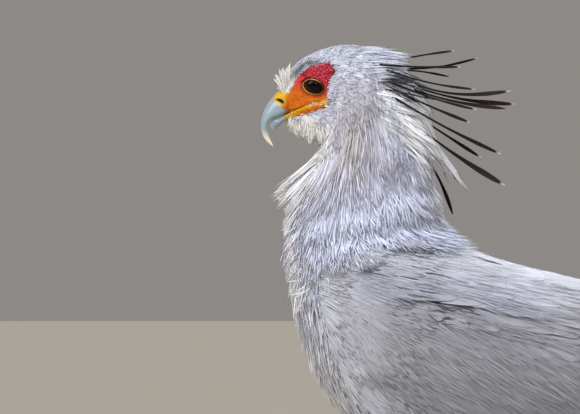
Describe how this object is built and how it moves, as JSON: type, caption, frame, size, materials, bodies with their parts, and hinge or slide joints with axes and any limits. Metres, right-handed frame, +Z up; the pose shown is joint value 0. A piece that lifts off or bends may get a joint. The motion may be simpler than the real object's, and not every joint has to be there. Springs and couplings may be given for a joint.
{
  "type": "secretary bird",
  "caption": "Life-size standing secretary bird with drawn-in neck, crest of long quills, folded wings, long central tail feathers and long bare legs.",
  "frame": {"origin": "on the ground, below the middle of the bird's outline in plan", "axes": "+Z up, the bill points towards -X, the bird's left side faces -Y"},
  "size_m": [1.0084, 0.1904, 0.968],
  "materials": {
    "plumage": "soft pale blue-grey feathers",
    "wing_plumage": "grey coverts over black flight feathers",
    "black_plumage": "black feathers with a slight sheen",
    "face_skin": "bare wrinkled orange skin, red over the eye and yellow at the cere",
    "bill_horn": "smooth blue-grey horn",
    "eye": "wet dark brown",
    "leg_skin": "scaly pinkish grey skin",
    "claw_horn": "dark worn horn"
  },
  "bodies": {
    "root": {"head": "plumage", "face": "face_skin", "bill_upper": "bill_horn", "bill_lower": "bill_horn", "eye_left": "eye", "eye_right": "eye", "crest": "black_plumage", "neck": "plumage", "torso": "plumage", "wing_left": "wing_plumage", "wing_right": "wing_plumage", "tail": "wing_plumage", "thigh_left": "black_plumage", "thigh_right": "black_plumage", "shank_left": "leg_skin", "shank_right": "leg_skin", "foot_left": "leg_skin", "foot_right": "leg_skin", "claw_left_inner": "claw_horn", "claw_left_middle": "claw_horn", "claw_left_outer": "claw_horn", "claw_left_hind": "claw_horn", "claw_right_inner": "claw_horn", "claw_right_middle": "claw_horn", "claw_right_outer": "claw_horn", "claw_right_hind": "claw_horn"}
  },
  "joints": []
}
